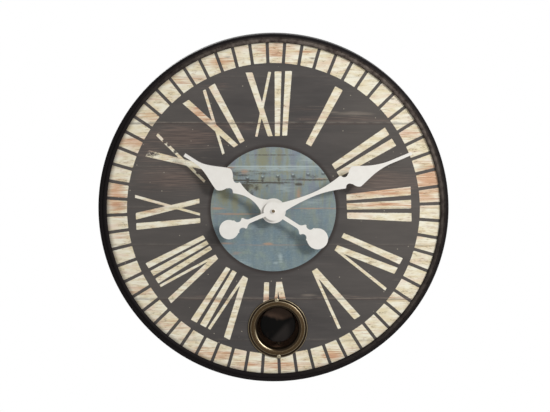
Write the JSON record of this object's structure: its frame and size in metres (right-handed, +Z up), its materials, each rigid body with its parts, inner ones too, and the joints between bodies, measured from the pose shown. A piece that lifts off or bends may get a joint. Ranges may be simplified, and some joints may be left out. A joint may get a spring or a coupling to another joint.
{
  "type": "pendulum wall clock",
  "caption": "Round wall clock with a metal rim, plank dial with Roman numerals, spade hands, a geared quartz movement and a pendulum behind a small window.",
  "frame": {"origin": "middle of the keyhole entry hole at the wall plane, where the wall screw goes in", "axes": "+Z up, the dial faces -Y, +X to the right as seen from the front; the wall is the plane Y = 0"},
  "size_m": [0.584, 0.0724, 0.584],
  "materials": {
    "rim_steel": "satin black enamel",
    "dial_board": "painted and distressed boards",
    "antique_brass": "dark antique patina",
    "bright_screws": "bright nickel plate",
    "zinc_steel": "zinc plated",
    "black_screws": "black oxide",
    "hardboard": "pressed hardboard",
    "pine": "sawn pine",
    "felt": "wool felt",
    "movement_plastic": "moulded black plastic",
    "gear_plastic": "moulded acetal",
    "turned_brass": "turned brass",
    "gasket_rubber": "moulded rubber",
    "hand_enamel": "ivory enamel",
    "core_iron": "punched core iron",
    "copper_wire": "enamelled copper wire",
    "board_green": "lacquered circuit board",
    "spring_steel": "nickel plated strip",
    "magnet": "sintered magnet",
    "bob_bronze": "polished dark bronze lacquer",
    "battery_jacket": "plain printed jacket"
  },
  "bodies": {
    "case": {"case_rim": "rim_steel", "dial_panel": "dial_board", "window_bezel": "antique_brass", "bezel_screws": "bright_screws", "dial_clips": "zinc_steel", "clip_screws": "zinc_steel", "back_cover": "hardboard", "cover_screws": "black_screws", "hanger_block": "pine", "hanger_plate": "zinc_steel", "hanger_screws": "zinc_steel", "wall_pads": "felt", "movement_front_case": "movement_plastic", "movement_rear_case": "movement_plastic", "train_plate": "gear_plastic", "threaded_bushing": "turned_brass", "rubber_gasket": "gasket_rubber", "dial_washer": "turned_brass", "dial_nut": "turned_brass", "motor_stator": "core_iron", "motor_coil": "copper_wire", "circuit_board": "board_green", "quartz_crystal": "spring_steel", "positive_contact": "spring_steel", "negative_contact": "spring_steel", "drive_coil": "copper_wire", "drive_bobbin": "gear_plastic", "pivot_pin": "spring_steel"},
    "minute": {"minute_arbor": "turned_brass", "minute_hand": "hand_enamel", "hand_nut": "antique_brass"},
    "hour": {"hour_wheel": "gear_plastic", "hour_hand": "hand_enamel"},
    "motion_work": {"minute_wheel": "gear_plastic"},
    "knob": {"setting_knob": "gear_plastic"},
    "centre": {"centre_wheel": "turned_brass"},
    "third": {"third_wheel": "gear_plastic"},
    "seconds": {"seconds_wheel": "gear_plastic"},
    "step": {"step_wheel": "gear_plastic"},
    "rotor": {"rotor_pinion": "gear_plastic", "rotor_magnet": "magnet"},
    "pendulum": {"pendulum_lever": "gear_plastic", "lever_magnet": "magnet", "pendulum_rod": "antique_brass", "pendulum_bob": "bob_bronze", "rating_nut": "antique_brass"},
    "battery": {"battery": "battery_jacket"}
  },
  "joints": [
    {"name": "minute_turn", "type": "hinge", "parent": "case", "child": "minute", "pos_m": [0, 0, -0.24], "axis": [0, 1, 0], "continuous": true},
    {"name": "hour_turn", "type": "hinge", "parent": "case", "child": "hour", "pos_m": [0, 0, -0.24], "axis": [0, 1, 0], "continuous": true},
    {"name": "motion_work_turn", "type": "hinge", "parent": "case", "child": "motion_work", "pos_m": [-0.01128, 0, -0.2441], "axis": [0, 1, 0], "continuous": true},
    {"name": "knob_turn", "type": "hinge", "parent": "case", "child": "knob", "pos_m": [-0.01816, 0, -0.25393], "axis": [0, 1, 0], "continuous": true},
    {"name": "rotor_turn", "type": "hinge", "parent": "case", "child": "rotor", "pos_m": [-0.00748, 0, -0.22583], "axis": [0, 1, 0], "continuous": true},
    {"name": "step_turn", "type": "hinge", "parent": "case", "child": "step", "pos_m": [0.00044, 0, -0.22583], "axis": [0, 1, 0], "continuous": true},
    {"name": "seconds_turn", "type": "hinge", "parent": "case", "child": "seconds", "pos_m": [0.01078, 0, -0.224], "axis": [0, 1, 0], "continuous": true},
    {"name": "third_turn", "type": "hinge", "parent": "case", "child": "third", "pos_m": [0.01278, 0, -0.23535], "axis": [0, 1, 0], "continuous": true},
    {"name": "centre_turn", "type": "hinge", "parent": "case", "child": "centre", "pos_m": [0, 0, -0.24], "axis": [0, 1, 0], "continuous": true},
    {"name": "pendulum_swing", "type": "hinge", "parent": "case", "child": "pendulum", "pos_m": [0, 0, -0.271], "axis": [0, 1, 0], "range_deg": [-5, 5]},
    {"name": "battery_lift_out", "type": "slide", "parent": "case", "child": "battery", "axis": [0, 1, 0], "range_m": [0, 0.03]}
  ],
  "couplings": [
    {"joint": "hour_turn", "follows": "minute_turn", "ratio": 0.083333},
    {"joint": "motion_work_turn", "follows": "minute_turn", "ratio": -0.33333},
    {"joint": "knob_turn", "follows": "minute_turn", "ratio": 1},
    {"joint": "step_turn", "follows": "rotor_turn", "ratio": -0.2},
    {"joint": "seconds_turn", "follows": "rotor_turn", "ratio": 0.033333},
    {"joint": "third_turn", "follows": "rotor_turn", "ratio": -0.0041667},
    {"joint": "centre_turn", "follows": "rotor_turn", "ratio": 0.00055556}
  ]
}
